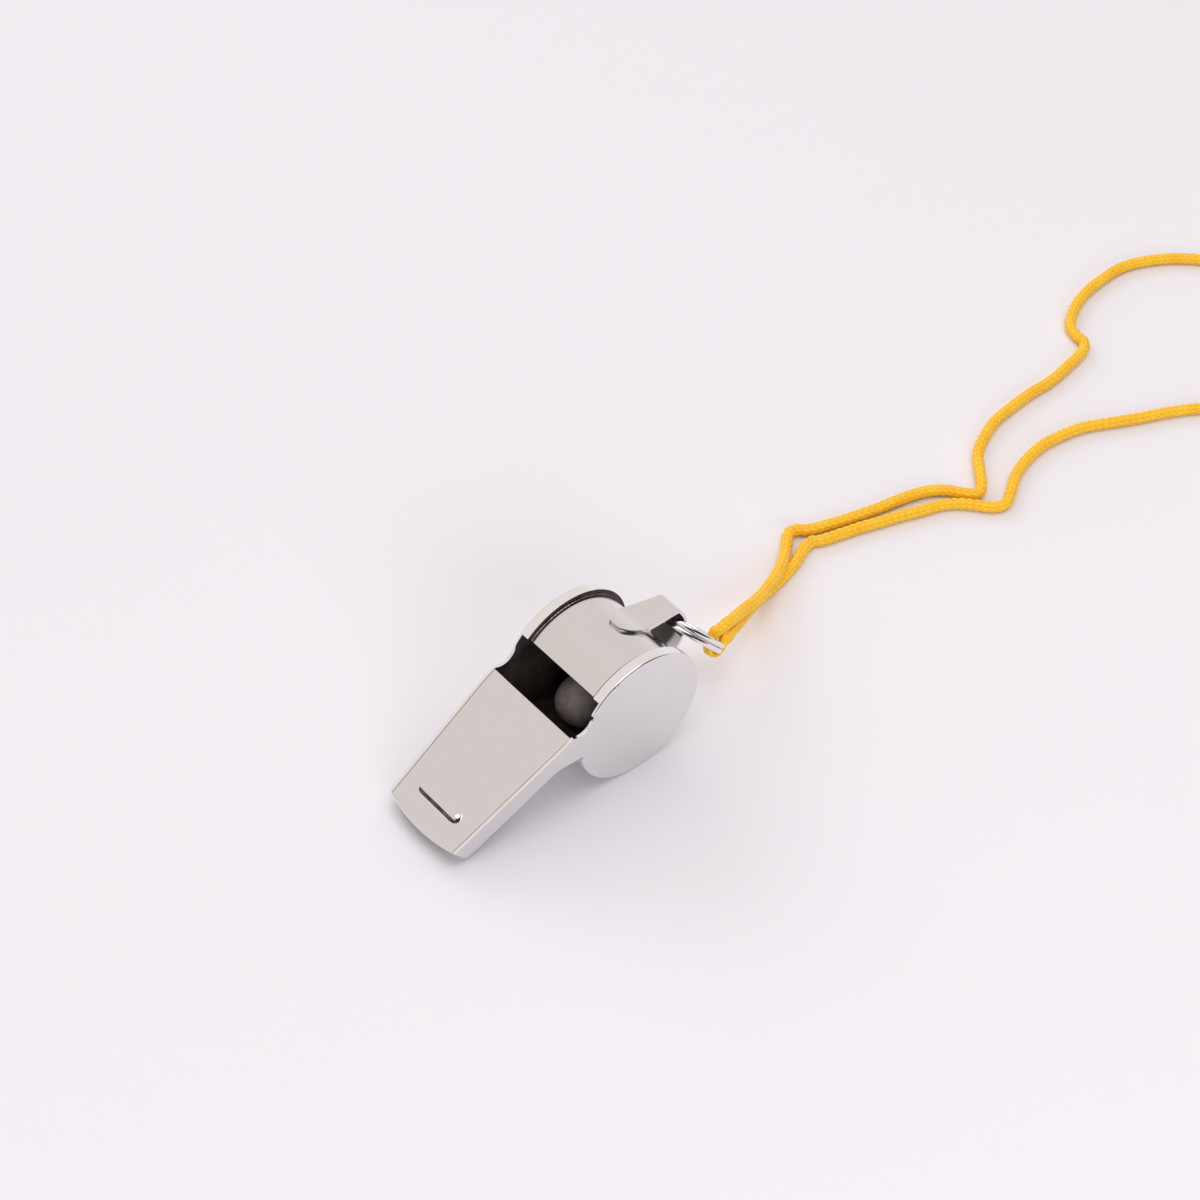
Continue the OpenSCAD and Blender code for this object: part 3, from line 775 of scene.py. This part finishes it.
def make_ring():
    """Split ring: two turns of round wire with a slanting step between them"""
    line = []
    start = RING_STEP * 0.25
    sweep = 2 * math.pi * RING_TURNS - 2 * start
    for k in range(RING_STEPS + 1):
        angle = start + sweep * k / RING_STEPS
        # Level over each turn, stepping up where the first turn meets the second
        up = RING_HALF * (2 * eased((angle - 2 * math.pi) / (2 * RING_STEP) + 0.5) - 1)
        around = angle + math.pi / 2
        line.append(RING_MIDDLE + RING_OUT * (RING_R * math.cos(around))
                    + RING_SIDE * (RING_R * math.sin(around)) + RING_UP * up)
    ahead, sides = carried_frames(line, RING_UP)
    bm = swept_tube(line, sides, ahead, WIRE_SIDES,
                    lambda i, angle: (WIRE_R * math.cos(angle), WIRE_R * math.sin(angle)))
    bmesh.ops.remove_doubles(bm, verts=bm.verts, dist=2e-6)
    ends = [e for e in bm.edges if e.is_boundary]
    bmesh.ops.holes_fill(bm, edges=ends, sides=0)
    caps = [f for f in bm.faces if len(f.verts) > 4]
    rim = {e for f in caps for e in f.edges}
    bmesh.ops.bevel(bm, geom=list(rim), offset=WIRE_END_EDGE, offset_type="OFFSET", segments=2,
                    profile=0.5, affect="EDGES", clamp_overlap=True, material=-1)
    bmesh.ops.recalc_face_normals(bm, faces=bm.faces)
    piece = finished_object("ring_wire", bm, [bpy.data.materials["ring_wire"]], "ring",
                            40)
    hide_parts("split_ring")


def make_pea(sizes, colours):
    """Loose pea with a fine pressed grain"""
    low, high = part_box("pea")
    middle = (low + high) / 2
    radius = (high.z - low.z) / 2
    bm = bmesh.new()
    bmesh.ops.create_icosphere(bm, subdivisions=6, radius=radius)
    for vert in bm.verts:
        grain = noise.fractal(vert.co * 900, 0.8, 2.0, 3)
        pit = noise.noise(vert.co * 350)
        vert.co -= vert.co.normalized() * sizes.grain * (0.6 + 0.5 * grain + 0.6 * pit)
    bmesh.ops.translate(bm, verts=bm.verts, vec=middle)
    piece = finished_object("cork_pea", bm, [pressed_cork(colours.pea)], "ball", 80)
    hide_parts("pea")


# ---------- stage ----------

def make_camera():
    """Camera at the photograph's place and angle"""
    data = bpy.data.cameras.new("camera")
    data.lens = CAMERA_LENS
    data.sensor_width = CAMERA_SENSOR
    data.sensor_fit = "AUTO"
    data.clip_start = 0.01
    camera = bpy.data.objects.new("camera", data)
    right, up = Vector(CAMERA_RIGHT), Vector(CAMERA_UP)
    back = right.cross(up)
    turn = Matrix((right, up, back)).transposed().to_4x4()
    camera.matrix_world = Matrix.Translation(CAMERA_PLACE) @ turn
    bpy.context.scene.collection.objects.link(camera)
    bpy.context.scene.camera = camera


def make_floor(colours):
    """Plain paper floor"""
    bm = bmesh.new()
    bmesh.ops.create_grid(bm, x_segments=1, y_segments=1, size=3)
    mesh = bpy.data.meshes.new("floor")
    bm.to_mesh(mesh)
    bm.free()
    mesh.materials.append(paper_floor(colours.floor))
    floor = bpy.data.objects.new("floor", mesh)
    bpy.context.scene.collection.objects.link(floor)


def ramp(tree, value, stops):
    """Colour ramp over (place, grey or colour) stops"""
    node = tree.nodes.new("ShaderNodeValToRGB")
    node.color_ramp.interpolation = "EASE"
    marks = node.color_ramp.elements
    while len(marks) < len(stops):
        marks.new(0.5)
    for mark, (place, colour) in zip(marks, stops):
        mark.position = place
        mark.color = (*colour, 1)
    tree.links.new(value, node.inputs["Fac"])
    return node.outputs["Color"]


def make_world():
    """Studio: pale room behind and above, open dark room on the camera's side"""
    world = bpy.data.worlds.new("studio")
    bpy.context.scene.world = world
    world.use_nodes = True
    tree = world.node_tree
    background = tree.nodes["Background"]
    place = tree.nodes.new("ShaderNodeTexCoord").outputs["Generated"]
    height = one_axis(tree, place, "Z")
    pale = ramp(tree, height, [
        (0.0, (0.90, 0.87, 0.91)), (0.12, (0.86, 0.83, 0.85)), (0.40, (0.80, 0.75, 0.73)),
        (0.80, (0.80, 0.75, 0.72)), (1.0, (0.84, 0.79, 0.77))])
    open_side = ramp(tree, height, [
        (0.0, (0.90, 0.87, 0.91)), (0.10, (0.80, 0.78, 0.80)), (0.20, (0.03, 0.028, 0.03)),
        (0.72, (0.03, 0.028, 0.03)), (0.86, (0.72, 0.68, 0.66))])
    front = map_range(tree, one_axis(tree, place, "Y"), -0.2, -0.5, 0, 1)
    both = blend_colours(tree, front, pale, open_side)
    tree.links.new(both, background.inputs["Color"])


def make_lamp(name, place, wide, high, watts):
    """Area lamp aimed at the whistle"""
    data = bpy.data.lights.new(name, "AREA")
    data.shape = "RECTANGLE"
    data.size = wide
    data.size_y = high
    data.energy = watts
    lamp = bpy.data.objects.new(name, data)
    aim = (Vector((0.02, 0, 0)) - Vector(place)).to_track_quat("-Z", "Y")
    lamp.matrix_world = Matrix.Translation(place) @ aim.to_matrix().to_4x4()
    bpy.context.scene.collection.objects.link(lamp)
    return lamp


def make_lamps():
    """Large softbox overhead, a low fill on each side that metal doesn't mirror"""
    make_lamp("softbox", (0.0, -0.16, 0.9), 0.8, 0.7, 1.9)
    front = make_lamp("fill_front", (-0.25, -0.75, 0.4), 0.7, 0.4, 2.9)
    back = make_lamp("fill_back", (0.1, 0.8, 0.45), 0.7, 0.4, 1.6)
    front.visible_glossy = back.visible_glossy = False


# ---------- operators ----------

def sizes_of(context):
    """Sizes chosen in the sidebar"""
    return context.scene.whistle_sizes


def colours_of(context):
    """Colours chosen in the sidebar"""
    return context.scene.whistle_colours


class WHISTLE_OT_stage(bpy.types.Operator):
    """Set up the camera, the paper floor and the studio light"""
    bl_idname = "whistle.stage"
    bl_label = "Stage"

    def execute(self, context):
        context.scene.view_settings.view_transform = "Standard"
        make_camera()
        make_floor(colours_of(context))
        make_world()
        make_lamps()
        return {"FINISHED"}


class WHISTLE_OT_cord(bpy.types.Operator):
    """Knit the neck cord along its route"""
    bl_idname = "whistle.cord"
    bl_label = "Neck cord"

    def execute(self, context):
        make_cord(sizes_of(context), colours_of(context))
        return {"FINISHED"}


class WHISTLE_OT_metals(bpy.types.Operator):
    """Mix the metal finishes that the shell and the ring share"""
    bl_idname = "whistle.metals"
    bl_label = "Metal finishes"

    def execute(self, context):
        colours = colours_of(context)
        bright_metal("plated_steel", colours.steel, 0.8, 0.000012)
        bright_metal("ring_wire", colours.wire, 0.4, 0.000006)
        # The barrel steel has a painted shade line at each rim's foot; the rim crest metal is a
        # painted highlight; the three below are painted shade with some stain, painted shade, and
        # the bow floor's painted reflection and shade
        bright_metal("barrel_steel", colours.steel, 0.8, 0.000012, BARREL_SHADE_BAND)
        bright_metal("rim_painted_highlight", colours.rim, 0.3, 0.000008)
        shaded_chamber_metal()
        shade_painted_metal()
        lug_floor()
        return {"FINISHED"}


class WHISTLE_OT_shell(bpy.types.Operator):
    """Finish the sheet pieces of the shell"""
    bl_idname = "whistle.shell"
    bl_label = "Shell"

    def execute(self, context):
        edge = sizes_of(context).edge
        rounded_sheet("barrel_strip", "barrel_sheet", edge)
        plate_edge = sizes_of(context).plate_edge
        rounded_sheet("mouthpiece_roof", "roof_sheet", plate_edge, ridge_slope)
        rounded_sheet("left_side_plate", "left_plate_sheet", plate_edge, rim_finish)
        rounded_sheet("right_side_plate", "right_plate_sheet", plate_edge, rim_finish)
        return {"FINISHED"}


class WHISTLE_OT_lug(bpy.types.Operator):
    """Finish the folded lug"""
    bl_idname = "whistle.lug"
    bl_label = "Lanyard lug"

    def execute(self, context):
        rounded_sheet("lanyard_lug", "lug_strap", sizes_of(context).lug_edge, under_lug)
        return {"FINISHED"}


class WHISTLE_OT_ring(bpy.types.Operator):
    """Wind the split ring"""
    bl_idname = "whistle.ring"
    bl_label = "Split ring"

    def execute(self, context):
        make_ring()
        return {"FINISHED"}


class WHISTLE_OT_pea(bpy.types.Operator):
    """Press the pea"""
    bl_idname = "whistle.pea"
    bl_label = "Pea"

    def execute(self, context):
        make_pea(sizes_of(context), colours_of(context))
        return {"FINISHED"}


OPERATORS = (WHISTLE_OT_stage, WHISTLE_OT_cord, WHISTLE_OT_metals, WHISTLE_OT_shell,
             WHISTLE_OT_lug, WHISTLE_OT_ring, WHISTLE_OT_pea)


class WHISTLE_PT_build(bpy.types.Panel):
    """Sidebar panel with the steps and settings"""
    bl_idname = "WHISTLE_PT_build"
    bl_label = "Whistle"
    bl_space_type = "VIEW_3D"
    bl_region_type = "UI"
    bl_category = "Whistle"

    def draw(self, context):
        for group in (sizes_of(context), colours_of(context)):
            for key in group.__annotations__:
                self.layout.prop(group, key)
        for operator in OPERATORS:
            self.layout.operator(operator.bl_idname)


CLASSES = (WhistleSizes, WhistleColours, *OPERATORS, WHISTLE_PT_build)


def register():
    """Registers the classes and hangs the settings on the scene"""
    for cls in CLASSES:
        bpy.utils.register_class(cls)
    bpy.types.Scene.whistle_sizes = bpy.props.PointerProperty(type=WhistleSizes)
    bpy.types.Scene.whistle_colours = bpy.props.PointerProperty(type=WhistleColours)


def unregister():
    """Takes the settings and the classes away again"""
    del bpy.types.Scene.whistle_colours
    del bpy.types.Scene.whistle_sizes
    for cls in reversed(CLASSES):
        bpy.utils.unregister_class(cls)


def main():
    """Builds the stage and every piece"""
    register()
    bpy.ops.whistle.stage()
    bpy.ops.whistle.cord()
    bpy.ops.whistle.metals()
    bpy.ops.whistle.shell()
    bpy.ops.whistle.lug()
    bpy.ops.whistle.ring()
    bpy.ops.whistle.pea()


if __name__ == "__main__":
    main()
